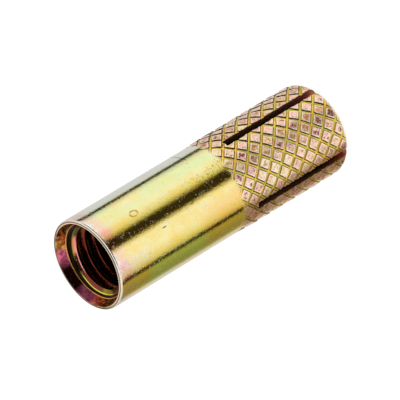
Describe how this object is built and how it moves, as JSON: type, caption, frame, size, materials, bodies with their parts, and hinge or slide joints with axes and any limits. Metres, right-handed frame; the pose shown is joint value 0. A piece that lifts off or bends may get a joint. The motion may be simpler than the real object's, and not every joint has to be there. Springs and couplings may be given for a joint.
{
  "type": "drop-in anchor",
  "caption": "Steel drop-in anchor: threaded countersunk sleeve with a knurled, slotted expansion end and a cone plug inside that spreads it.",
  "frame": {"origin": "centre of the slotted tip's end face, on the sleeve's axis", "axes": "+Z along the axis, from the slotted tip to the threaded mouth; X and Y run through the slots"},
  "size_m": [0.0122, 0.0122, 0.039],
  "materials": {
    "yellow_zinc": "yellow chromated zinc plate, iridescent",
    "plain_steel": "plain turned steel"
  },
  "bodies": {
    "sleeve": {"sleeve": "yellow_zinc"},
    "plug": {"expander_plug": "plain_steel"}
  },
  "joints": [
    {"name": "plug_drive", "type": "slide", "parent": "sleeve", "child": "plug", "axis": [0, 0, -1], "range_m": [0, 0.003]}
  ]
}
